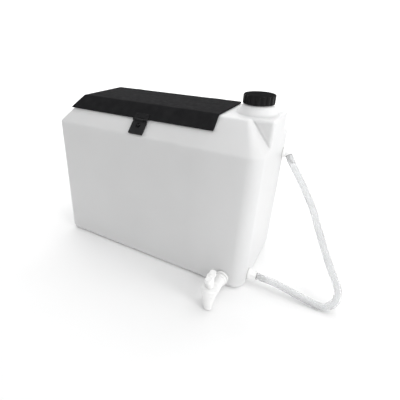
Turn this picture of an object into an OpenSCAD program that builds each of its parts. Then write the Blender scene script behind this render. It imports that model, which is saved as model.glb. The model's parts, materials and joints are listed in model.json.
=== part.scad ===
// Open feed-and-expansion tank: a moulded plastic vessel with a screwed filler cap, a hinged
// access cover with a strap latch, a draw-off tap and a clear level hose between two ports.
// Millimetres. The origin is the centre of the tank's base, +X runs along the tank towards the
// filler neck, +Z is up, and the tap is on the -Y side.

/* [Tank] */
// Length of the tank
tank_l = 450; // [420:5:500]
// Depth of the tank, front to back
tank_d = 220; // [210:5:240]
// Height of the tank
tank_h = 330; // [310:5:380]
// Thickness of the moulded wall
wall = 3.5; // [3:0.25:4.5]
// Height of the sloping band below the flat top
band_h = 50; // [44:1:56]
// How far the band leans in at the front and back
band_lean = 48; // [44:1:50]
// How far the band leans in at the two ends
band_end_lean = 40; // [36:1:44]
// Radius of the soft vertical edges at the neck end
soft_edge_r = 25; // [20:1:28]
// Radius of the vertical edges at the other end
firm_edge_r = 12; // [12:1:16]
// Radius of the edges round the base
foot_r = 12; // [9:1:12]
// Radius of the folds round the sloping band
fold_r = 8; // [6:0.5:8.5]

/* [Filler neck and cap] */
// Distance of the neck's axis from the tank's middle
neck_x = 180; // [176:1:182]
// Width of the level platform that carries the neck
platform_w = 100; // [90:2:108]
// Radius of the platform's edges
platform_edge_r = 5; // [4.5:0.5:7]
// Outside radius of the neck
neck_r = 23; // [22:0.5:24]
// Height of the neck's rim above the tank's top
neck_h = 30; // [29:1:32]
// Overall radius of the cap, over its grip lobes
cap_r = 29; // [27.5:0.5:29.5]
// Height of the cap
cap_h = 17; // [15:0.5:17]
// Number of grip lobes around the cap
cap_lobes = 18; // [14:1:20]

/* [Access opening and cover] */
// Length of the opening in the top
opening_l = 240; // [200:10:240]
// Width of the opening in the top
opening_w = 84; // [70:2:86]
// Distance of the cover's free end from the tank's middle
cover_end_x = 130; // [120:1:132]
// Thickness of the cover's sheet
cover_t = 2.2; // [2:0.1:2.6]
// Share of the front band that the cover's flap hides
flap_share = 0.47; // [0.4:0.01:0.5]
// Width of the latch strap
strap_w = 32; // [28:1:36]
// Distance of the strap's middle from the tank's middle
strap_x = -20; // [-60:1:40]

/* [Tap] */
// Distance of the tap from the tank's middle
tap_x = 184; // [174:1:186]
// Height of the tap's barrel above the base
tap_z = 24; // [24:0.5:28]
// Distance of the tap's turning axis from the tank's front
tap_reach = 67; // [60:1:70]
// Length of the tap's handle
handle_l = 32; // [28:1:36]

/* [Level hose] */
// Outside diameter of the hose
hose_od = 14; // [13.5:0.5:15]
// Bore of the hose
hose_id = 10; // [9.5:0.5:10.5]

/* [Hidden] */
$fn = 64;

// Clearances, and how far cutting tools run past a face
pass = 1;            // how far a cutting tool runs past a face
turn_fit = 0.05;     // radial clearance of a part that turns in a bore
thread_fit = 0.05;   // radial clearance of a nut on a stem, threads being drawn plain
nut_chamfer = 0.4;   // how much a nut's corners are cut back

// Colours
milk = [0.93, 0.94, 0.93];
black = [0.13, 0.13, 0.14];
gloss_black = [0.07, 0.07, 0.07];
white = [0.97, 0.97, 0.96];
rubber = [0.3, 0.3, 0.3];
steel = [0.72, 0.73, 0.74];
clear = [0.85, 0.9, 0.92, 0.6];

// Tank
front_y = -tank_d / 2;
end_x = tank_l / 2;
ridge_y = tank_d / 2 - band_lean;           // half depth of the flat top
ridge_x = end_x - band_end_lean;            // half length of the flat top
side_slope = sqrt(pow(band_lean, 2) + pow(band_h, 2));
end_slope = sqrt(pow(band_end_lean, 2) + pow(band_h, 2));
band_angle = atan(band_h / band_lean);      // how steeply the front and back bands fall
ball_fn = 32;                               // facets of the round shapes inside a hull

// Neck and cap
collar_h = 16;                              // height of the cone at the neck's root
collar_r = 37;                              // radius of the cone at its foot
neck_wall = 3.5;
cap_top_t = 2.5;
cap_gap = 1.5;                              // room for the thread between neck and cap
liner_t = 1.45;
liner_play = 0.02;
cap_z = tank_h + neck_h + liner_t + 2 * liner_play + cap_top_t - cap_h;
lobe_r = 5.5;

// Cover and its gasket
cover_gap = 1.2;                            // from the tank's top to the cover's underside
gasket_t = 1.1;
gasket_lip = 12;                            // how far the gasket reaches past the opening
opening_x = -30;                            // the opening's middle
opening_corner_r = 20;
flap_l = flap_share * side_slope;
cover_corner_r = 8;
cover_back_y = ridge_y + 1.5;

// Hinges at the cover's back edge
hinge_xs = [-130, 75];                      // middles of the two hinges
hinge_y = ridge_y + 6.5;
knuckle_r = 3.4;
hinge_z = tank_h + cover_gap + cover_t - knuckle_r - 1.1;   // below the cover's top
knuckle_l = 16;
ear_t = 7;
hinge_play = 0.5;                           // between a knuckle and the ears beside it
hinge_pin_r = 1.8;
bracket_w = knuckle_l + 2 * (hinge_play + ear_t);
bracket_start = 10;                         // where the bracket's foot starts down the slope
bracket_foot = 26;                          // where it ends
bracket_t = 2.5;
rivet_edge = 6;                             // from a rivet to the foot's end
rivet_r = 1.6;
rivet_spacing = 18;

// Strap latch on the front band; distances are measured down the slope from the fold
latch_axis_s = flap_l + 4;
latch_axis_n = 4.4;                         // height of the latch pin above the band
latch_knuckle_r = 2.6;
latch_pin_r = 1.3;
latch_knuckle_l = 14;
latch_ear_l = 8.6;                          // length of the plate's ears, one to each side
latch_ear_gap = 0.4;
latch_rivet_spacing = 22;
latch_plate_l = 13;
latch_plate_t = 1.5;
strap_start_s = latch_axis_s + latch_knuckle_r + 0.2;
strap_end_s = side_slope - 2.5;
strap_n = 1.4;                              // gap between the strap and the band
strap_t = 2.6;
stud_s = latch_axis_s + 12;
stud_r = 3.2;
stud_hole_r = 4.8;

// Tap
stem_r = 9.8;
tap_washer_t = 2;
tap_inner_washer_r = 11.9;                  // stays on the flat of the wall above the foot
tap_flange_r = 14;
tap_flange_t = 4;
barrel_r = 10;
chamber_r = 14.5;
chamber_top = tap_z + 24;
taper_top = tap_z + 18;                     // where the body stops widening
tap_axis_y = front_y - tap_reach;
plug_r = 7.5;
plug_bottom = tap_z - 6.5;
plug_bore_r = 5;
plug_port_r = 4.5;
plug_seal_heights = [chamber_top - 8, chamber_top - 4];
stalk_r = 4;
bonnet_t = 4;
handle_z = chamber_top + bonnet_t + 0.5;    // underside of the handle's hub
hub_r = 6.8;
hub_h = 17.5;                               // from the hub's underside to the handle's bar
handle_w = 11;
handle_t = 8;
outlet_z = 2;                               // height of the spout's mouth above the base
outlet_r = 8.2;
outlet_bore_r = 5;
outlet_l = 7;

// Hose ports on the end at the neck
port_washer_t = 2;
port_stem_r = 7.5;
port_flange_r = 11;
port_flange_t = 4;
port_hex_r = 10.4;                          // hexagon for a spanner on the lower tail
port_hex_l = 12;
inner_washer_t = 1.5;
backnut_t = 6;
backnut_r = 11;
stem_l = wall + inner_washer_t + backnut_t + 2;   // how far a stem reaches in from the wall's face
tail_bore_r = 3;
lower_port_y = -73;
lower_port_z = 24;
upper_port_y = 74;
upper_port_z = 238;
elbow_x = 11;                               // from the end wall to the elbow's middle
elbow_r = 6.8;
elbow_angle = 53;                           // how steeply the upper hose leaves
elbow_tail = 5;                             // from the elbow's middle to the hose's end

// Middle line of the hose. It runs out along the ground, and then lies in one plane that leans
// back from the ground under the lower port to the upper port; X is measured from the end wall.
hose_rest_z = hose_od / 2;
hose_rise = [0, upper_port_y - lower_port_y, upper_port_z - hose_rest_z];
hose_lean = atan(hose_rise[1] / hose_rise[2]);
ground_run = [
    [port_washer_t + port_flange_t + port_hex_l, lower_port_z], [36, 24], [56, 22.5], [76, 19],
    [96, 14.5], [116, 10.5], [135, 7.8]
];
leaning_run = [
    [146.8, 2.6], [156.4, 10], [162, 20.8], [162.6, 32.9], [159, 44], [149, 60], [138, 77],
    [128, 94], [118, 111], [109, 128], [100, 145], [91, 162], [81, 179], [69, 196], [57, 213],
    [43, 231], [28, 250],
    [elbow_x + elbow_tail * cos(elbow_angle), norm(hose_rise) - elbow_tail * sin(elbow_angle)]
];
hose_route = concat(
    [for (p = ground_run) [end_x + p[0], lower_port_y, p[1]]],
    [for (p = leaning_run)
        [end_x + p[0], lower_port_y + p[1] * sin(hose_lean), hose_rest_z + p[1] * cos(hose_lean)]]);
hose_sides = 12;

// ---------------------------------------------------------------- shared shapes

// Turns +Z of its children to point along +X.
module along_x() rotate([0, 90, 0]) children();

// Turns +Z of its children to point along -Y, out of the tank's front.
module out_of_front() rotate([90, 0, 0]) children();

// Puts children on the front band: X along the tank, Y down the slope, Z out of it.
module on_front_band() {
    translate([0, -ridge_y, tank_h]) rotate([band_angle, 0, 0]) mirror([0, 1, 0]) children();
}

// Puts children on the back band: X along the tank, Y down the slope, Z out of it.
module on_back_band() {
    translate([0, ridge_y, tank_h]) rotate([-band_angle, 0, 0]) children();
}

// A flat ring of thickness t.
module ring(outer_r, inner_r, t) {
    difference() {
        cylinder(r = outer_r, h = t);
        translate([0, 0, -pass]) cylinder(r = inner_r, h = t + 2 * pass);
    }
}

// A hexagonal block whose corners are cut back to a circle.
module hexagon(across_r, t) {
    intersection() {
        cylinder(r = across_r, h = t, $fn = 6);
        cylinder(r = across_r - nut_chamfer, h = t);
    }
}

// A hexagonal nut whose hole has radius inner_r.
module hex_nut(across_r, inner_r, t) {
    difference() {
        hexagon(across_r, t);
        translate([0, 0, -pass]) cylinder(r = inner_r, h = t + 2 * pass);
    }
}

// A rivet: a domed head above z = 0, a shank down through grip, and an upset end.
module rivet(head_r, head_t, shank_r, grip, upset_r, upset_t) {
    rotate_extrude()
        polygon(concat(
            [[0, -grip - upset_t], [upset_r, -grip - upset_t], [upset_r, -grip],
                [shank_r, -grip], [shank_r, 0]],
            [for (a = [0 : 15 : 90]) [head_r * cos(a), head_t * sin(a)]]));
}

// Points of an outline with each corner [x, y, r] rounded to its radius r.
function rounded(corners, steps = 6) = [
    for (i = [0 : len(corners) - 1])
        let (
            n = len(corners),
            c = [corners[i][0], corners[i][1]],
            a = [corners[(i + n - 1) % n][0], corners[(i + n - 1) % n][1]],
            b = [corners[(i + 1) % n][0], corners[(i + 1) % n][1]],
            u = (a - c) / norm(a - c),
            v = (b - c) / norm(b - c),
            half = acos(u * v) / 2,
            r = corners[i][2],
            start = c + u * r / tan(half),
            middle = c + (u + v) / norm(u + v) * r / sin(half),
            from = start - middle,
            side = sign(u[0] * v[1] - u[1] * v[0]),
            sweep = side * (180 - 2 * half)
        )
        for (k = [0 : steps])
            let (t = -sweep * k / steps)
            middle + [from[0] * cos(t) - from[1] * sin(t), from[0] * sin(t) + from[1] * cos(t)]
];

// A rectangle with round corners, centred on the origin.
module rounded_plate(l, w, r, t) {
    linear_extrude(t)
        polygon(rounded([for (corner = [[1, 1], [-1, 1], [-1, -1], [1, -1]])
            [corner[0] * l / 2, corner[1] * w / 2, r]]));
}

// ---------------------------------------------------------------- tank

// A disc of radius r whose rim is rounded to the radius edge, made smaller all over by shrink.
module round_rim(r, edge, shrink) {
    rotate_extrude($fn = ball_fn)
        intersection() {
            translate([r - edge, 0]) circle(r = edge - shrink, $fn = ball_fn);
            translate([0, -edge]) square([r + edge, 2 * edge]);
        }
}

// The vessel's form with its sloping bands, shrunk all over by shrink.
module hipped_form(shrink) {
    fold_z = tank_h - band_h - fold_r * (side_slope - band_h) / band_lean;
    top_y = ridge_y - fold_r * (side_slope - band_lean) / band_h;
    top_x = ridge_x - fold_r * (end_slope - band_end_lean) / band_h;
    hull()
        for (end = [-1, 1], side = [-1, 1]) {
            r = end > 0 ? soft_edge_r : firm_edge_r;
            translate([end * (end_x - r), side * (tank_d / 2 - r), foot_r])
                round_rim(r, foot_r, shrink);
            translate([end * (end_x - r), side * (tank_d / 2 - r), fold_z])
                round_rim(r, fold_r, shrink);
            translate([end * top_x, side * top_y, tank_h - fold_r])
                round_rim(fold_r, fold_r, shrink);
        }
}

// The level block that carries the filler neck out to the end wall.
module platform_form(shrink) {
    edge = platform_edge_r;
    hull()
        for (x = [ridge_x - 60, end_x - edge], side = [-1, 1], z = [tank_h - 2 * band_h, tank_h - edge])
            translate([x, side * (platform_w / 2 - edge), z]) round_rim(edge, edge, shrink);
}

// The neck, on a cone that ends in a narrow shoulder.
module neck_outside() {
    cone_r = neck_r + 5;
    shoulder_r = neck_r + 2;
    translate([neck_x, 0, tank_h - wall])
        rotate_extrude()
            polygon([[0, 0], [collar_r, 0], [collar_r, wall], [cone_r, wall + collar_h - 1],
                [shoulder_r, wall + collar_h], [neck_r, wall + collar_h], [neck_r, wall + neck_h],
                [0, wall + neck_h]]);
}

module tank_shell() {
    color(milk)
        difference() {
            union() {
                hipped_form(0);
                platform_form(0);
                neck_outside();
            }
            hipped_form(wall);
            platform_form(wall);
            translate([neck_x, 0, tank_h - 2 * wall])
                cylinder(r = neck_r - neck_wall, h = neck_h + 3 * wall);
            translate([opening_x, 0, tank_h - 2 * wall])
                rounded_plate(opening_l, opening_w, opening_corner_r, 3 * wall);
            translate([tap_x, front_y + 2 * wall, tap_z])
                out_of_front() cylinder(r = stem_r + thread_fit, h = 3 * wall);
            for (port = [[lower_port_y, lower_port_z], [upper_port_y, upper_port_z]])
                translate([end_x - 2 * wall, port[0], port[1]])
                    along_x() cylinder(r = port_stem_r + thread_fit, h = 3 * wall);
            on_back_band() hinge_rivet_places() translate([0, 0, -2 * wall])
                cylinder(r = rivet_r, h = 3 * wall);
            on_front_band() translate([strap_x, stud_s, -2 * wall])
                cylinder(r = rivet_r, h = 3 * wall);
        }
}

// ---------------------------------------------------------------- access cover

module access_gasket() {
    color(rubber)
        translate([opening_x, 0, tank_h])
            difference() {
                rounded_plate(opening_l + 2 * gasket_lip, opening_w + 2 * gasket_lip,
                    opening_corner_r + gasket_lip, gasket_t);
                translate([0, 0, -pass])
                    rounded_plate(opening_l, opening_w, opening_corner_r, gasket_t + 2 * pass);
            }
}

// Side view of the sheet: flat over the top, then down the front band.
module cover_section() {
    drop = [-cos(band_angle), -sin(band_angle)];
    out = [-sin(band_angle), cos(band_angle)];
    fold = [-ridge_y, tank_h];
    inner_fold = [fold[0] - cover_gap * tan(band_angle / 2), fold[1] + cover_gap];
    outer_fold = [fold[0] - (cover_gap + cover_t) * tan(band_angle / 2), fold[1] + cover_gap + cover_t];
    tip = fold + flap_l * drop;
    fold_inner_r = 2;
    polygon(rounded([
        [cover_back_y, tank_h + cover_gap, 0.4],
        [inner_fold[0], inner_fold[1], fold_inner_r],
        [tip[0] + cover_gap * out[0], tip[1] + cover_gap * out[1], 0.4],
        [tip[0] + (cover_gap + cover_t) * out[0], tip[1] + (cover_gap + cover_t) * out[1], 0.8],
        [outer_fold[0], outer_fold[1], fold_inner_r + cover_t],
        [cover_back_y, tank_h + cover_gap + cover_t, 0.8]
    ], 4));
}

// Plan of the sheet: its near end follows the line where the front and end bands meet.
module cover_plan() {
    near_x = -ridge_x + 1;
    flap_y = flap_share * band_lean + 4;
    near_run = flap_y * band_end_lean / band_lean;
    polygon(rounded([
        [cover_end_x, cover_back_y, cover_corner_r],
        [near_x, cover_back_y, 3],
        [near_x, -ridge_y, 10],
        [near_x - near_run, -ridge_y - flap_y, 1],
        [cover_end_x, -ridge_y - flap_y, 1]
    ]));
}

module access_cover() {
    color(black)
        difference() {
            union() {
                intersection() {
                    translate([-end_x, 0, 0]) rotate([90, 0, 90]) linear_extrude(tank_l) cover_section();
                    translate([0, 0, tank_h - band_h]) linear_extrude(2 * band_h) cover_plan();
                }
                for (x = hinge_xs) {
                    translate([x - knuckle_l / 2, hinge_y, hinge_z])
                        along_x() cylinder(r = knuckle_r - 0.3, h = knuckle_l);
                    translate([x - knuckle_l / 2, cover_back_y - 2, hinge_z + 1.5])
                        cube([knuckle_l, hinge_y - cover_back_y + 2, cover_t]);
                }
            }
            for (x = hinge_xs)
                translate([x - knuckle_l / 2 - pass, hinge_y, hinge_z])
                    along_x() cylinder(r = hinge_pin_r + turn_fit, h = knuckle_l + 2 * pass);
            on_front_band() latch_rivet_places() cylinder(r = latch_pin_r, h = 2 * latch_axis_n);
        }
}

// Places of the rivets through each hinge bracket, on the back band.
module hinge_rivet_places() {
    for (x = hinge_xs, side = [-1, 1])
        translate([x + side * rivet_spacing / 2, bracket_foot - rivet_edge, 0]) children();
}

// A point of the back band's side view, s down the slope and sunk a little below its face.
function sunk_in_band(s) = [ridge_y + s * cos(band_angle), tank_h - (s + 1) * sin(band_angle)];

// A bracket's ear, from the foot up to the pin, with its near face at x = 0.
module hinge_ear() {
    rotate([90, 0, 90]) linear_extrude(ear_t)
        polygon([sunk_in_band(5), sunk_in_band(17), [hinge_y + knuckle_r - 0.5, hinge_z - 1],
            [hinge_y - knuckle_r + 1, hinge_z - 1.6]]);
    translate([0, hinge_y, hinge_z]) along_x() cylinder(r = knuckle_r, h = ear_t);
}

module hinge_brackets() {
    color(black)
        difference() {
            union()
                for (x = hinge_xs) {
                    on_back_band() translate([x - bracket_w / 2, bracket_start, 0])
                        cube([bracket_w, bracket_foot - bracket_start, bracket_t]);
                    for (side = [-1, 1])
                        translate([x + side * (bracket_w - ear_t) / 2 - ear_t / 2, 0, 0]) hinge_ear();
                }
            for (x = hinge_xs)
                translate([x - bracket_w, hinge_y, hinge_z])
                    along_x() cylinder(r = hinge_pin_r, h = 2 * bracket_w);
            on_back_band() hinge_rivet_places() translate([0, 0, -pass])
                cylinder(r = rivet_r, h = bracket_t + 2 * pass);
            for (x = hinge_xs)
                on_back_band() translate([x - bracket_w, -bracket_foot, -bracket_foot])
                    cube([2 * bracket_w, 4 * bracket_foot, bracket_foot]);
        }
}

module hinge_pins() {
    head_t = 1.2;
    color(steel)
        for (x = hinge_xs)
            translate([x - bracket_w / 2 - head_t, hinge_y, hinge_z])
                along_x() {
                    cylinder(r = hinge_pin_r, h = bracket_w + head_t + 1.5);
                    cylinder(r = hinge_pin_r + 1.2, h = head_t);
                }
}

module hinge_rivets() {
    color(steel)
        on_back_band() hinge_rivet_places() translate([0, 0, bracket_t])
            rivet(3.2, 1.2, rivet_r, bracket_t + wall, 2.6, 1.5);
}

// ---------------------------------------------------------------- strap latch

// Places of the rivets through the latch plate, on the front band.
module latch_rivet_places() {
    for (side = [-1, 1])
        translate([strap_x + side * latch_rivet_spacing / 2, latch_axis_s - latch_plate_l + 2, 0]) children();
}

module latch_plate() {
    plate_n = cover_gap + cover_t;
    ear_x = latch_knuckle_l / 2 + latch_ear_gap + latch_ear_l / 2;
    color(black)
        on_front_band()
            difference() {
                union() {
                    translate([strap_x - strap_w / 2, latch_axis_s - latch_plate_l - 2, plate_n])
                        cube([strap_w, latch_plate_l - 2, latch_plate_t]);
                    for (side = [-1, 1])
                        translate([strap_x + side * ear_x - latch_ear_l / 2, 0, 0]) {
                            translate([0, latch_axis_s, latch_axis_n])
                                along_x() cylinder(r = latch_knuckle_r, h = latch_ear_l);
                            translate([0, latch_axis_s - 6, plate_n]) cube([latch_ear_l, 6, latch_plate_t]);
                        }
                }
                translate([strap_x - strap_w, latch_axis_s, latch_axis_n])
                    along_x() cylinder(r = latch_pin_r, h = 2 * strap_w);
                latch_rivet_places() translate([0, 0, plate_n - pass])
                    cylinder(r = latch_pin_r, h = latch_plate_t + 2 * pass);
            }
}

module latch_rivets() {
    plate_n = cover_gap + cover_t;
    color(gloss_black)
        on_front_band() latch_rivet_places() translate([0, 0, plate_n + latch_plate_t])
            rivet(2.6, 0.9, latch_pin_r, latch_plate_t + cover_t, 2, 0.5);
}

module latch_pin() {
    color(steel)
        on_front_band() translate([strap_x - strap_w / 2 - 1, latch_axis_s, latch_axis_n])
            along_x() cylinder(r = latch_pin_r, h = strap_w + 2);
}

module latch_strap() {
    strap_l = strap_end_s - strap_start_s;
    color(black)
        on_front_band()
            difference() {
                union() {
                    translate([strap_x, strap_start_s + strap_l / 2, strap_n])
                        rounded_plate(strap_w, strap_l, 1.5, strap_t);
                    translate([strap_x - latch_knuckle_l / 2, latch_axis_s, latch_axis_n])
                        along_x() cylinder(r = latch_knuckle_r, h = latch_knuckle_l);
                    translate([strap_x - latch_knuckle_l / 2, latch_axis_s, latch_axis_n - latch_knuckle_r])
                        cube([latch_knuckle_l, 5, latch_knuckle_r]);
                }
                translate([strap_x - strap_w / 2, latch_axis_s, latch_axis_n])
                    along_x() cylinder(r = latch_pin_r + turn_fit, h = strap_w);
                translate([strap_x, stud_s, 0]) cylinder(r = stud_hole_r, h = 3 * strap_t);
            }
}

module latch_stud() {
    foot_r = 4.4;
    foot_t = 1;
    stud_h = 6;
    color(gloss_black)
        on_front_band() translate([strap_x, stud_s, 0])
            rotate_extrude()
                polygon(concat(
                    [[0, -wall - 1.5], [2.6, -wall - 1.5], [2.6, -wall], [rivet_r, -wall], [rivet_r, 0],
                        [foot_r, 0], [foot_r, foot_t], [stud_r, foot_t]],
                    [for (a = [0 : 15 : 90]) [stud_r * cos(a), stud_h - 1.5 + 1.5 * sin(a)]]));
}

// ---------------------------------------------------------------- filler cap

module cap_liner() {
    color(white)
        translate([neck_x, 0, tank_h + neck_h + liner_play])
            cylinder(r = neck_r + cap_gap - 0.1, h = liner_t);
}

module filler_cap() {
    edge_r = 3;
    dish_r = cap_r - 7;
    dish_depth = 0.8;
    color(gloss_black)
        translate([neck_x, 0, cap_z])
            difference() {
                intersection() {
                    union() {
                        cylinder(r = cap_r - 1.7, h = cap_h);
                        for (i = [0 : cap_lobes - 1])
                            rotate(i * 360 / cap_lobes) translate([cap_r - lobe_r, 0, 0])
                                cylinder(r = lobe_r, h = cap_h);
                    }
                    rotate_extrude()
                        polygon(concat(
                            [[0, 0], [cap_r - 1, 0], [cap_r, 1]],
                            [for (a = [0 : 15 : 90])
                                [cap_r - edge_r + edge_r * cos(a), cap_h - edge_r + edge_r * sin(a)]],
                            [[dish_r + 1, cap_h], [dish_r, cap_h - dish_depth], [0, cap_h - dish_depth]]));
                }
                translate([0, 0, -pass]) cylinder(r = neck_r + cap_gap, h = cap_h - cap_top_t + pass);
            }
}

// ---------------------------------------------------------------- tap

module tap_outer_washer() {
    color(rubber)
        translate([tap_x, front_y, tap_z])
            out_of_front() ring(tap_flange_r - 0.5, stem_r + thread_fit, tap_washer_t);
}

module tap_inner_washer() {
    color(rubber)
        translate([tap_x, front_y + wall + inner_washer_t, tap_z])
            out_of_front() ring(tap_inner_washer_r, stem_r + thread_fit, inner_washer_t);
}

module tap_backnut() {
    color(white)
        translate([tap_x, front_y + wall + inner_washer_t + backnut_t, tap_z])
            out_of_front() rotate(30) hex_nut(tap_flange_r - 0.4, stem_r + thread_fit, backnut_t);
}

// The barrel's outside, from the stem's inner end to the chamber, along the tap's own axis.
module barrel_outside() {
    back = tap_washer_t;
    front = back + tap_flange_t;
    bead_start = front + 3;
    bead_end = front + 8;
    bead_r = tap_flange_r - 1;
    rotate_extrude()
        polygon([[0, -stem_l], [stem_r - 0.8, -stem_l], [stem_r, -stem_l + 0.8], [stem_r, back],
            [tap_flange_r, back], [tap_flange_r, front], [barrel_r, front], [barrel_r, bead_start],
            [bead_r, bead_start], [bead_r, bead_end], [barrel_r, bead_end + 1],
            [barrel_r, tap_reach], [0, tap_reach]]);
}

// The upright body: a round mouth, a taper, and the chamber round the plug.
module tap_upright() {
    rotate_extrude()
        polygon([[0, outlet_z], [outlet_r, outlet_z], [outlet_r, outlet_z + outlet_l],
            [chamber_r, taper_top], [chamber_r, chamber_top], [0, chamber_top]]);
}

module tap_body() {
    color(white)
        difference() {
            union() {
                translate([tap_x, front_y, tap_z]) out_of_front() barrel_outside();
                translate([tap_x, tap_axis_y, 0]) tap_upright();
            }
            translate([tap_x, front_y + stem_l + pass, tap_z])
                out_of_front() cylinder(r = plug_port_r + 1.5, h = stem_l + pass + tap_reach);
            translate([tap_x, tap_axis_y, plug_bottom])
                cylinder(r = plug_r + turn_fit, h = chamber_top - plug_bottom + pass);
            translate([tap_x, tap_axis_y, outlet_z - pass])
                cylinder(r = outlet_bore_r, h = plug_bottom - outlet_z + 2 * pass);
        }
}

module tap_plug() {
    stalk_top = handle_z + hub_h + handle_t;
    color(white)
        translate([tap_x, tap_axis_y, 0])
            difference() {
                union() {
                    translate([0, 0, plug_bottom + 0.1])
                        cylinder(r = plug_r, h = chamber_top - plug_bottom - 0.2);
                    translate([0, 0, tap_z]) cylinder(r = stalk_r, h = stalk_top - tap_z);
                }
                cylinder(r = plug_bore_r, h = tap_z + plug_port_r + pass);
                translate([0, 0, tap_z]) rotate([-90, 0, 0]) cylinder(r = plug_port_r, h = 2 * plug_r);
                for (z = plug_seal_heights)
                    translate([0, 0, z - 1]) ring(plug_r + pass, plug_r - 1.6, 2);
                translate([0, 0, stalk_top - 8]) cylinder(r = 1.5, h = 8 + pass);
            }
}

module tap_plug_seals() {
    color(rubber)
        translate([tap_x, tap_axis_y, 0])
            for (z = plug_seal_heights)
                translate([0, 0, z])
                    rotate_extrude() translate([plug_r - 0.8, 0]) circle(r = 0.79, $fn = 24);
}

module tap_bonnet() {
    color(white)
        translate([tap_x, tap_axis_y, chamber_top])
            difference() {
                union() {
                    cylinder(r = chamber_r + 0.8, h = bonnet_t - 1);
                    translate([0, 0, bonnet_t - 1])
                        cylinder(r1 = chamber_r + 0.8, r2 = chamber_r - 0.4, h = 1);
                }
                translate([0, 0, -pass]) cylinder(r = stalk_r + turn_fit, h = bonnet_t + 2 * pass);
            }
}

// A bar across a round hub, in line with the barrel while the tap is shut.
module tap_handle() {
    web_t = 3;
    web_h = 8;
    color(white)
        translate([tap_x, tap_axis_y, handle_z])
            difference() {
                union() {
                    cylinder(r = hub_r, h = hub_h + handle_t);
                    translate([0, 0, hub_h]) rounded_plate(handle_w, handle_l, 4, handle_t);
                    rotate([90, 0, 90]) translate([0, 0, -web_t / 2]) linear_extrude(web_t)
                        polygon([[-handle_l / 2 + 3, hub_h + 1], [-hub_r + 1, hub_h - web_h],
                            [hub_r - 1, hub_h - web_h], [handle_l / 2 - 3, hub_h + 1]]);
                }
                translate([0, 0, -pass]) cylinder(r = stalk_r, h = hub_h + handle_t + 2 * pass);
            }
}

module tap_handle_screw() {
    color(white)
        translate([tap_x, tap_axis_y, handle_z + hub_h + handle_t])
            difference() {
                rivet(4.8, 1.8, 1.5, 7.5, 1.4, 0.3);
                translate([-5, -0.5, 1]) cube([10, 1, 2]);
            }
}

// ---------------------------------------------------------------- hose ports

module port_outer_washer() {
    color(rubber)
        along_x() ring(port_flange_r - 0.5, port_stem_r + thread_fit, port_washer_t);
}

module port_inner_washer() {
    color(rubber)
        translate([-wall - inner_washer_t, 0, 0])
            along_x() ring(port_flange_r - 0.5, port_stem_r + thread_fit, inner_washer_t);
}

module port_backnut() {
    color(white)
        translate([-wall - inner_washer_t - backnut_t, 0, 0])
            along_x() hex_nut(backnut_r, port_stem_r + thread_fit, backnut_t);
}

// The stem through the wall and the flange outside, with the end wall's face at z = 0.
module port_stem() {
    back = port_washer_t;
    front = back + port_flange_t;
    rotate_extrude()
        polygon([[0, -stem_l], [port_stem_r - 0.8, -stem_l], [port_stem_r, -stem_l + 0.8],
            [port_stem_r, back], [port_flange_r, back], [port_flange_r, front - 1],
            [port_flange_r - 1, front], [0, front]]);
}

// A ridged tail for the hose, from z = 0.
module ridged_tail(l) {
    tail_r = hose_id / 2 - 0.8;
    ridge_r = hose_id / 2;
    ridges = 3;
    pitch = (l - 2) / ridges;
    cylinder(r = tail_r, h = l);
    for (i = [0 : ridges - 1])
        translate([0, 0, 2 + i * pitch]) cylinder(r1 = ridge_r, r2 = tail_r, h = pitch);
}

module lower_hose_tail() {
    tail_l = 20;
    flange_face = port_washer_t + port_flange_t;
    face = flange_face + port_hex_l;
    color(white)
        translate([end_x, lower_port_y, lower_port_z])
            along_x()
                difference() {
                    union() {
                        port_stem();
                        translate([0, 0, flange_face]) hexagon(port_hex_r, port_hex_l);
                        translate([0, 0, face]) ridged_tail(tail_l);
                    }
                    translate([0, 0, -stem_l - pass])
                        cylinder(r = tail_bore_r, h = stem_l + face + tail_l + 2 * pass);
                }
}

module upper_hose_elbow() {
    tail_l = 18;
    color(white)
        translate([end_x, upper_port_y, upper_port_z]) rotate([-hose_lean, 0, 0])
            difference() {
                union() {
                    along_x() port_stem();
                    translate([port_washer_t, 0, 0])
                        along_x() cylinder(r = elbow_r, h = elbow_x - port_washer_t);
                    translate([elbow_x, 0, 0]) {
                        sphere(r = elbow_r + 0.6);
                        rotate([0, 90 + elbow_angle, 0]) {
                            cylinder(r = elbow_r, h = elbow_tail);
                            translate([0, 0, elbow_tail]) ridged_tail(tail_l);
                        }
                    }
                }
                translate([-stem_l - pass, 0, 0])
                    along_x() cylinder(r = tail_bore_r, h = stem_l + pass + elbow_x);
                translate([elbow_x, 0, 0]) {
                    sphere(r = tail_bore_r + 0.4);
                    rotate([0, 90 + elbow_angle, 0])
                        cylinder(r = tail_bore_r, h = elbow_tail + tail_l + pass);
                }
            }
}

module at_lower_port() translate([end_x, lower_port_y, lower_port_z]) children();
module at_upper_port() translate([end_x, upper_port_y, upper_port_z]) children();

// ---------------------------------------------------------------- level hose

function unit(v) = v / norm(v);
function cross_unit(a, b) = unit(cross(a, b));

// Direction of the route at its point i.
function route_way(i) = unit(
    hose_route[min(i + 1, len(hose_route) - 1)] - hose_route[max(i - 1, 0)]);

// One ring of the hose, whose first spoke lies in the plane that the hose leans back in.
function hose_ring(i) =
    let (
        way = route_way(i),
        side = cross_unit(way, [0, cos(hose_lean), -sin(hose_lean)]),
        up = cross(side, way)
    )
    [for (k = [0 : hose_sides - 1])
        hose_route[i] + hose_od / 2 * (cos(k * 360 / hose_sides) * side + sin(k * 360 / hose_sides) * up)];

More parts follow.
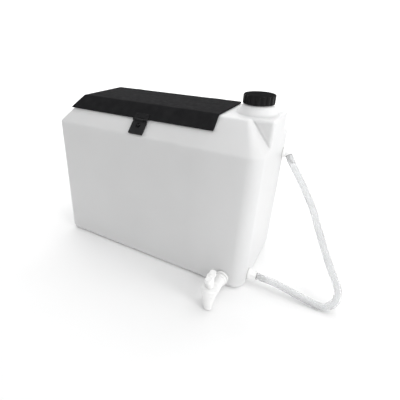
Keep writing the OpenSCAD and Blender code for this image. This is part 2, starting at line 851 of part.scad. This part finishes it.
module level_hose() {
    rings = len(hose_route);
    n = hose_sides;
    points = [for (i = [0 : rings - 1]) each hose_ring(i)];
    walls = [for (i = [0 : rings - 2], k = [0 : n - 1])
        let (a = i * n + k, b = i * n + (k + 1) % n)
        each [[a, b, b + n], [a, b + n, a + n]]];
    first_cap = [[for (k = [n - 1 : -1 : 0]) k]];
    last_cap = [[for (k = [0 : n - 1]) (rings - 1) * n + k]];
    color(clear) polyhedron(points, concat(walls, first_cap, last_cap), convexity = 6);
}

// ---------------------------------------------------------------- nodes

tank_shell();
access_gasket();
hinge_brackets();
hinge_pins();
hinge_rivets();
latch_stud();
access_cover();
latch_plate();
latch_rivets();
latch_pin();
latch_strap();
cap_liner();
filler_cap();
tap_body();
tap_outer_washer();
tap_inner_washer();
tap_backnut();
tap_bonnet();
tap_plug();
tap_plug_seals();
tap_handle();
tap_handle_screw();
lower_hose_tail();
at_lower_port() port_outer_washer();  // lower_outer_washer
at_lower_port() port_inner_washer();  // lower_inner_washer
at_lower_port() port_backnut();  // lower_backnut
upper_hose_elbow();
at_upper_port() port_outer_washer();  // upper_outer_washer
at_upper_port() port_inner_washer();  // upper_inner_washer
at_upper_port() port_backnut();  // upper_backnut
level_hose();
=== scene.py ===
"""Looks of the open feed-and-expansion tank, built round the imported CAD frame.

Metres, in the CAD's frame: the origin is the centre of the tank's base, +X runs along the tank
towards the filler neck, +Z is up, and the tap is on the -Y side.
"""
import json
import math

import bpy
from mathutils import Matrix, Vector


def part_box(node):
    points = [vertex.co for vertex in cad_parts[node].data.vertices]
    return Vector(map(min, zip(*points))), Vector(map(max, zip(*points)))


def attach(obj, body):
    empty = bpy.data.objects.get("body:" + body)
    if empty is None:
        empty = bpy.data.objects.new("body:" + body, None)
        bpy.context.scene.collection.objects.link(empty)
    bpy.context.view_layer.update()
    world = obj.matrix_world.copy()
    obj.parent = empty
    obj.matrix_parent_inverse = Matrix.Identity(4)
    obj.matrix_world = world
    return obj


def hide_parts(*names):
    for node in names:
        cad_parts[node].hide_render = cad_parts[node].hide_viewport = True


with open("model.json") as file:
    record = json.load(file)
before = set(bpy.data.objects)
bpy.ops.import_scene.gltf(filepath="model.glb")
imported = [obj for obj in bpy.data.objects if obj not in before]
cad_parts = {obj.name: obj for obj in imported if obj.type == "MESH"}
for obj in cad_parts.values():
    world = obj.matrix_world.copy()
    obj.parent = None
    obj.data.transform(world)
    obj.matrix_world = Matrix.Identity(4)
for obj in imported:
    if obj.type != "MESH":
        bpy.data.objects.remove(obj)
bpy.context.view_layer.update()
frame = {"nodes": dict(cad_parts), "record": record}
NODES = frame["nodes"]
MM = 0.001
FULL_TURN = 2 * math.pi
TANK_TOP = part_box("tank_shell")[1]          # its highest corner: the end's X and the neck's Z
CAP_LOW, CAP_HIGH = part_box("filler_cap")


# ---------------------------------------------------------------- camera

VIEW_AZIMUTH, VIEW_ELEVATION, VIEW_ROLL = 29.9, 26.4, 1.0   # degrees; azimuth 0 looks along +Y
CAMERA_PLACE = (0.3296, -0.5955, 0.4667)
SENSOR_MM, LENS_MM = 36, 28.75
SHIFT_X, SHIFT_Y = 0.086, -0.033            # in widths of the frame
CLIP_START, CLIP_END = 0.01, 50


def add_camera():
    """The camera, turned by the three view angles, with no target to aim at."""
    azimuth, elevation, roll = (math.radians(x) for x in (VIEW_AZIMUTH, VIEW_ELEVATION, VIEW_ROLL))
    flat = math.cos(elevation)
    back = Vector((math.sin(azimuth) * flat, -math.cos(azimuth) * flat, math.sin(elevation)))
    level = Vector((math.cos(azimuth), math.sin(azimuth), 0))
    upright = back.cross(level)
    right = math.cos(roll) * level + math.sin(roll) * upright
    up = math.cos(roll) * upright - math.sin(roll) * level
    data = bpy.data.cameras.new("camera")
    data.lens = LENS_MM
    data.sensor_width = SENSOR_MM
    data.shift_x, data.shift_y = SHIFT_X, SHIFT_Y
    data.clip_start, data.clip_end = CLIP_START, CLIP_END
    camera = bpy.data.objects.new("camera", data)
    bpy.context.scene.collection.objects.link(camera)
    turn = Matrix((right, up, back)).transposed().to_4x4()
    camera.matrix_world = Matrix.Translation(CAMERA_PLACE) @ turn
    bpy.context.scene.camera = camera


add_camera()


# ---------------------------------------------------------------- materials

BEVEL_SAMPLES = 4


class Shader:
    """A material with one principled shader, and short ways to wire nodes into it."""

    def __init__(self, name):
        self.material = bpy.data.materials.new(name)
        self.material.use_nodes = True
        self.tree = self.material.node_tree
        self.bsdf = self.tree.nodes["Principled BSDF"]
        self.place = self.add("ShaderNodeTexCoord").outputs["Object"]

    def wire(self, socket, value):
        """Links a value to a socket if it is a socket itself, and else sets it there."""
        if isinstance(value, bpy.types.NodeSocket):
            self.tree.links.new(value, socket)
        else:
            socket.default_value = value

    def add(self, kind, inputs=(), **settings):
        """A new node with its inputs wired and its own settings made."""
        node = self.tree.nodes.new(kind)
        for key, value in settings.items():
            setattr(node, key, value)
        for key, value in dict(inputs).items():
            self.wire(node.inputs[key], value)
        return node

    def set(self, **values):
        """Wires the shader's inputs; an underscore in a name stands for a space."""
        for key, value in values.items():
            self.wire(self.bsdf.inputs[key.replace("_", " ")], value)

    def noise(self, scale, detail=3.0, distortion=0.0, stretch=(1, 1, 1)):
        """Noise from 0 to 1 whose grain is about 1/scale metres."""
        mapping = self.add("ShaderNodeMapping", {"Vector": self.place, "Scale": stretch})
        return self.add("ShaderNodeTexNoise", {
            "Vector": mapping.outputs["Vector"],
            "Scale": scale, "Detail": detail, "Distortion": distortion,
        }).outputs["Fac"]

    def span(self, value, low, high, start=0.3, end=0.7):
        """value from start..end mapped to low..high. The default is the middle of a noise."""
        return self.add("ShaderNodeMapRange", {
            "Value": value, "From Min": start, "From Max": end, "To Min": low, "To Max": high,
        }).outputs["Result"]

    def blend(self, factor, first, second):
        """The first colour where factor is 0 and the second where it is 1."""
        node = self.add("ShaderNodeMix", data_type="RGBA")
        self.wire(node.inputs["Factor"], factor)
        colours = {s.name: s for s in node.inputs if s.type == "RGBA"}
        for name, colour in (("A", first), ("B", second)):
            self.wire(colours[name], (*colour, 1) if isinstance(colour, tuple) else colour)
        return [s for s in node.outputs if s.type == "RGBA"][0]

    def relief(self, layers, edge=0.0):
        """Bumps from (height, metres) layers, over edges softened to a radius of edge."""
        normal = None
        if edge:
            bevel = self.add("ShaderNodeBevel", {"Radius": edge}, samples=BEVEL_SAMPLES)
            normal = bevel.outputs["Normal"]
        for height, depth in layers:
            inputs = {"Height": height, "Distance": depth, "Strength": 1.0}
            if normal is not None:
                inputs["Normal"] = normal
            normal = self.add("ShaderNodeBump", inputs).outputs["Normal"]
        self.set(Normal=normal)


def milky_plastic():
    """Thick translucent polyethylene with a soft, slightly wavy skin, and painted light that makes it
    palest round the neck end.
    """
    s = Shader("milky_plastic")
    cloud = s.span(s.noise(6, detail=2), 0, 1)
    body = s.blend(cloud, (0.735, 0.738, 0.74), (0.775, 0.778, 0.78))
    along = s.add("ShaderNodeSeparateXYZ", {"Vector": s.place}).outputs["X"]
    # Painted light: the base colour turns paler towards the neck end, where the key light falls.
    painted_light_at_neck_end = s.span(along, 0, 1, start=0.10, end=0.22)
    s.set(Base_Color=s.blend(painted_light_at_neck_end, body, (0.87, 0.873, 0.876)),
          Roughness=s.span(s.noise(45, detail=4), 0.36, 0.48),
          Subsurface_Weight=0.8, Subsurface_Scale=0.012, Subsurface_Radius=(1.0, 1.0, 1.0),
          IOR=1.5, Specular_IOR_Level=0.35)
    waves, grain = s.noise(8, detail=1), s.noise(700, detail=2)
    s.relief([(waves, 0.0012), (grain, 0.00001)], edge=0.006)
    return s.material


def moulded_plastic(name, dark, light, roughness, grain=1500, depth=0.00002, edge=0.0004, gloss=0.5):
    """Moulded plastic with faint mottling, uneven gloss, fine grain and softened edges."""
    s = Shader(name)
    s.set(Base_Color=s.blend(s.span(s.noise(60), 0, 1), dark, light),
          Roughness=s.span(s.noise(120, detail=4), roughness * 0.85, roughness * 1.15),
          Specular_IOR_Level=gloss)
    s.relief([(s.noise(grain, detail=2), depth)], edge)
    return s.material


def rubber():
    """Pale silicone rubber of the washers and the gasket."""
    s = Shader("rubber")
    s.set(Base_Color=s.blend(s.span(s.noise(90), 0, 1), (0.62, 0.62, 0.61), (0.70, 0.70, 0.69)),
          Roughness=s.span(s.noise(200), 0.6, 0.8))
    s.relief([(s.noise(1200), 0.00003)], edge=0.0002)
    return s.material


def zinc_steel():
    """Zinc-plated steel, with faint streaks along X."""
    s = Shader("zinc_steel")
    spangle = s.span(s.noise(150, distortion=1), 0, 1)
    s.set(Base_Color=s.blend(spangle, (0.50, 0.50, 0.51), (0.68, 0.68, 0.69)),
          Metallic=1.0,
          Roughness=s.span(s.noise(300, stretch=(1, 12, 12)), 0.25, 0.42))
    s.relief([(s.noise(900, stretch=(1, 10, 10)), 0.00001)], edge=0.0002)
    return s.material


def clear_hose():
    """Soft clear vinyl, faintly cloudy."""
    s = Shader("clear_hose")
    s.set(Base_Color=s.blend(s.span(s.noise(30), 0, 1), (0.94, 0.945, 0.95), (0.97, 0.975, 0.98)),
          Roughness=s.span(s.noise(120), 0.10, 0.16),
          Transmission_Weight=0.78, IOR=1.38)
    s.relief([(s.noise(40, detail=1), 0.00002)])
    return s.material


def pale_floor():
    """Matt white paper."""
    s = Shader("pale_floor")
    s.set(Base_Color=s.blend(s.noise(3), (0.93, 0.93, 0.93), (0.95, 0.95, 0.95)),
          Roughness=s.span(s.noise(20), 0.85, 0.95), Specular_IOR_Level=0.1)
    return s.material


# Moulded plastics: darkest and lightest colour, roughness, and whatever else isn't as usual.
MOULDED = {
    "black_sheet": ((0.013, 0.013, 0.014), (0.019, 0.019, 0.020), 0.8,
                    dict(grain=900, depth=0.00003, gloss=0.02)),
    "black_moulding": ((0.007, 0.007, 0.008), (0.012, 0.012, 0.013), 0.5, dict(gloss=0.12)),
    "black_strap": ((0.008, 0.008, 0.009), (0.014, 0.014, 0.015), 0.5, dict(grain=900, gloss=0.2)),
    "cap_plastic": ((0.007, 0.007, 0.007), (0.010, 0.010, 0.011), 0.3,
                    dict(depth=0.000008, edge=0.0006, gloss=0.15)),
    # Painted shade: a copy of the cap plastic with no reflection, for the cap's upward faces only, so its
    # top reads dark.
    "cap_top_painted_shade": ((0.012, 0.012, 0.012), (0.020, 0.020, 0.021), 0.75,
                dict(depth=0.000008, edge=0.0006, gloss=0.0)),
    "white_fitting": ((0.91, 0.91, 0.905), (0.95, 0.95, 0.945), 0.32, dict()),
    "liner_foam": ((0.74, 0.74, 0.72), (0.82, 0.82, 0.8), 0.8, dict(grain=2500)),
}
MATERIALS = {
    "milky_plastic": milky_plastic(),
    "seal_rubber": rubber(),
    "zinc_steel": zinc_steel(),
    "clear_hose": clear_hose(),
}
for finish, (darkest, lightest, dullness, differences) in MOULDED.items():
    MATERIALS[finish] = moulded_plastic(finish, darkest, lightest, dullness, **differences)


# ---------------------------------------------------------------- pieces

def link_mesh(name, vertices, faces, material):
    """A smooth mesh object of one material."""
    mesh = bpy.data.meshes.new(name)
    mesh.from_pydata([tuple(v) for v in vertices], [], faces)
    mesh.polygons.foreach_set("use_smooth", [True] * len(mesh.polygons))
    mesh.materials.append(material)
    made = bpy.data.objects.new(name, mesh)
    bpy.context.scene.collection.objects.link(made)
    return made


def new_piece(name, vertices, faces, body, slot):
    """A mesh piece that rides on a body and takes the finish of a material slot."""
    piece = link_mesh(name, vertices, faces, MATERIALS[slot])
    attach(piece, body)
    return piece


def smooth_route(points, steps):
    """Points of a smooth curve through the given points, with steps new points to each stretch."""
    ends = [2 * points[0] - points[1], *points, 2 * points[-1] - points[-2]]
    curve = []
    for a, b, c, d in zip(ends, ends[1:], ends[2:], ends[3:]):
        for i in range(steps):
            t = i / steps
            curve.append(0.5 * (2 * b + (c - a) * t + (2 * a - 5 * b + 4 * c - d) * t ** 2
                                + (3 * b - a - 3 * c + d) * t ** 3))
    return curve + [points[-1]]


def tube_rings(route, radii, sides):
    """Rings of points round a route, carried along it without twist."""
    side = Vector((0, 1, 0))
    angles = [FULL_TURN * k / sides for k in range(sides)]
    rings = []
    for i, point in enumerate(route):
        way = (route[min(i + 1, len(route) - 1)] - route[max(i - 1, 0)]).normalized()
        side = (side - way * side.dot(way)).normalized()
        up = way.cross(side)
        rings.append([point + radii[i] * (math.cos(a) * side + math.sin(a) * up) for a in angles])
    return rings


def skin(rings, closed=False):
    """A surface through equal rings: closed joins the last to the first, else both are capped."""
    n = len(rings[0])
    vertices = [v for ring in rings for v in ring]
    if closed:
        faces = []
        last = len(rings)
    else:
        last = len(rings) - 1
        faces = [tuple(reversed(range(n))), tuple(range(last * n, (last + 1) * n))]
    for i in range(last):
        j = (i + 1) % len(rings)
        for k in range(n):
            m = (k + 1) % n
            faces.append((i * n + k, i * n + m, j * n + m, j * n + k))
    return vertices, faces


# ---------------------------------------------------------------- hose

# Millimetres. The route repeats the points of the part's level hose.
HOSE_OUTER, HOSE_INNER = 7, 5               # radii
END_X = TANK_TOP.x / MM
LOWER_PORT_Y = -73
HOSE_REST_Z = HOSE_OUTER                    # lying on the ground
RISE_Y, RISE_Z = 147, 231                   # from the lying hose, below the lower port, to the upper port
ELBOW_X, ELBOW_TAIL, ELBOW_ANGLE = 11, 5, math.radians(53)
# (x out of the end, z) along the ground, then (x out of the end, distance up the leaning plane).
GROUND_RUN = [(18, 24), (36, 24), (56, 22.5), (76, 19), (96, 14.5), (116, 10.5), (135, 7.8)]
LEANING_RUN = [
    (146.8, 2.6), (156.4, 10), (162, 20.8), (162.6, 32.9), (159, 44), (149, 60),
    (138, 77), (128, 94), (118, 111), (109, 128), (100, 145), (91, 162),
    (81, 179), (69, 196), (57, 213), (43, 231), (28, 250),
]
ROUTE_STEPS, HOSE_SIDES = 6, 40
SWELL, SWELL_REACH, SWELL_FADE = 0.3, 19, 1.5   # how much the tails stretch it, how far, how softly


def hose_points():
    """The hose's route in metres: out along the ground, then in one leaning plane up to the elbow."""
    rise = math.hypot(RISE_Y, RISE_Z)
    last = (ELBOW_X + ELBOW_TAIL * math.cos(ELBOW_ANGLE), rise - ELBOW_TAIL * math.sin(ELBOW_ANGLE))
    points = [(END_X + x, LOWER_PORT_Y, z) for x, z in GROUND_RUN]
    for x, up in LEANING_RUN + [last]:
        part_way = up / rise
        points.append((END_X + x, LOWER_PORT_Y + part_way * RISE_Y, HOSE_REST_Z + part_way * RISE_Z))
    return [Vector(p) * MM for p in points]


def make_hose():
    """The clear hose: an open tube, slightly swollen where it is pushed over the ridged tails."""
    points = hose_points()
    route = smooth_route(points, ROUTE_STEPS)
    length = sum((b - a).length for a, b in zip(route, route[1:]))
    outer, inner, run = [], [], 0.0
    for i, point in enumerate(route):
        if i:
            run += (point - route[i - 1]).length
        from_end = min(run, length - run) / MM
        swell = SWELL / (1 + math.exp((from_end - SWELL_REACH) / SWELL_FADE))
        outer.append((HOSE_OUTER + swell) * MM)
        inner.append((HOSE_INNER + swell) * MM)
    rings = tube_rings(route, outer, HOSE_SIDES) + tube_rings(route, inner, HOSE_SIDES)[::-1]
    hose = new_piece("hose", *skin(rings, closed=True), "tank", "clear_hose")
    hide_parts("level_hose")


make_hose()


# ---------------------------------------------------------------- neck

NECK_R = 23 * MM
THREAD_PITCH, THREAD_R, THREAD_END_R = 6 * MM, 1.1 * MM, 0.02 * MM
THREAD_TURNS, THREAD_FADE = 1.5, 1 / 8      # all of it, and the part that fades at each end, in turns
THREAD_DEPTH = 11.5 * MM                    # from the neck's mouth down to where the ridge starts
THREAD_STEPS, THREAD_SIDES = 72, 10


def make_neck_thread():
    """The ridge that the cap screws over, fading into the neck at both ends."""
    foot = Vector(((CAP_LOW.x + CAP_HIGH.x) / 2, 0, TANK_TOP.z - THREAD_DEPTH))
    route, radii = [], []
    for i in range(THREAD_STEPS + 1):
        turn = THREAD_TURNS * i / THREAD_STEPS
        angle = FULL_TURN * turn
        spoke = NECK_R * Vector((math.cos(angle), math.sin(angle), 0))
        route.append(foot + spoke + Vector((0, 0, THREAD_PITCH * turn)))
        fade = min(1, min(turn, THREAD_TURNS - turn) / THREAD_FADE)
        radii.append(max(fade * THREAD_R, THREAD_END_R))
    new_piece("neck_thread", *skin(tube_rings(route, radii, THREAD_SIDES)), "tank", "milky_plastic")


make_neck_thread()


# ---------------------------------------------------------------- carried-over CAD nodes

WELD_DISTANCE = 0.002 * MM
CREASE = math.radians(32)                   # a sharper bend than this stays a hard edge
LOOKS_UP = 0.7                              # a face whose normal rises more than this looks up


def finish_node(name, slot):
    """Gives a CAD node its material, joined corners and smooth round faces."""
    node = NODES[name]
    mesh = node.data
    mesh.materials.clear()
    mesh.materials.append(MATERIALS[slot])
    mesh.polygons.foreach_set("use_smooth", [True] * len(mesh.polygons))
    if "custom_normal" in mesh.attributes:
        mesh.attributes.remove(mesh.attributes["custom_normal"])
    weld = node.modifiers.new("weld", "WELD")
    weld.merge_threshold = WELD_DISTANCE
    split = node.modifiers.new("split", "EDGE_SPLIT")
    split.split_angle = CREASE
    normals = node.modifiers.new("normals", "WEIGHTED_NORMAL")
    normals.mode = "FACE_AREA"


def paint_shade_on_top(name, material):
    """Gives the faces of a CAD node that look up a second material, a painted shade: a copy with no
    reflection, so the top reads dark.
    """
    mesh = NODES[name].data
    mesh.materials.append(MATERIALS[material])
    for face in mesh.polygons:
        if face.normal.z > LOOKS_UP:
            face.material_index = 1


for part in frame["record"]["subparts"]:
    if part["node"] != "level_hose":
        finish_node(part["node"], part["material_slot"])
# Painted shade on the cap's upward faces.
paint_shade_on_top("filler_cap", "cap_top_painted_shade")


# ---------------------------------------------------------------- floor and light

# The stage lies in the camera's own directions across the floor: +Y is away from the camera.
STAGE_TURN = Matrix.Rotation(math.radians(VIEW_AZIMUTH), 4, "Z")
STAGE_FRONT, STAGE_SIDE = -4.0, 5.0
WALL_FOOT, WALL_CURVE, WALL_TOP = 2.0, 1.2, 4.0   # where the floor turns up, its radius, the top
WALL_STEPS = 12


def make_floor():
    """A floor that turns up softly into a wall far behind the object."""
    profile = [(STAGE_FRONT, 0.0)]
    for i in range(WALL_STEPS + 1):
        a = FULL_TURN / 4 * i / WALL_STEPS
        profile.append((WALL_FOOT + WALL_CURVE * math.sin(a), WALL_CURVE - WALL_CURVE * math.cos(a)))
    profile.append((WALL_FOOT + WALL_CURVE, WALL_TOP))
    sides = (-STAGE_SIDE, STAGE_SIDE)
    vertices = [STAGE_TURN @ Vector((x, y, z)) for y, z in profile for x in sides]
    faces = [(2 * i, 2 * i + 1, 2 * i + 3, 2 * i + 2) for i in range(len(profile) - 1)]
    link_mesh("floor", vertices, faces, pale_floor())


def add_softbox(name, place, target, size, power):
    """A rectangular area light that shines from place to target."""
    data = bpy.data.lights.new(name, "AREA")
    data.shape = "RECTANGLE"
    data.size, data.size_y = size
    data.energy = power
    light = bpy.data.objects.new(name, data)
    bpy.context.scene.collection.objects.link(light)
    way = Vector(target) - Vector(place)
    light.matrix_world = Matrix.Translation(place) @ way.to_track_quat("-Z", "Y").to_matrix().to_4x4()


# Place, target, size in metres, and power in watts.
SOFTBOXES = {
    "key": ((1.93, -0.66, 0.85), (0, 0, 0.18), (0.8, 0.8), 12.5),
    "top": ((0.6, 0.0, 2.1), (0, 0, 0.1), (1.4, 1.4), 11.5),
    "backdrop": (STAGE_TURN @ Vector((0, 1.3, 2.4)), STAGE_TURN @ Vector((0, 3.0, 0.2)), (4, 0.8), 65),
}
SKY_STRENGTH = 0.6


def add_sky():
    """Even white light from all round."""
    world = bpy.data.worlds.new("studio")
    world.use_nodes = True
    sky = world.node_tree.nodes["Background"]
    sky.inputs["Color"].default_value = (1, 1, 1, 1)
    sky.inputs["Strength"].default_value = SKY_STRENGTH
    bpy.context.scene.world = world


make_floor()
for softbox, settings in SOFTBOXES.items():
    add_softbox(softbox, *settings)
add_sky()
bpy.context.scene.view_settings.view_transform = "Standard"
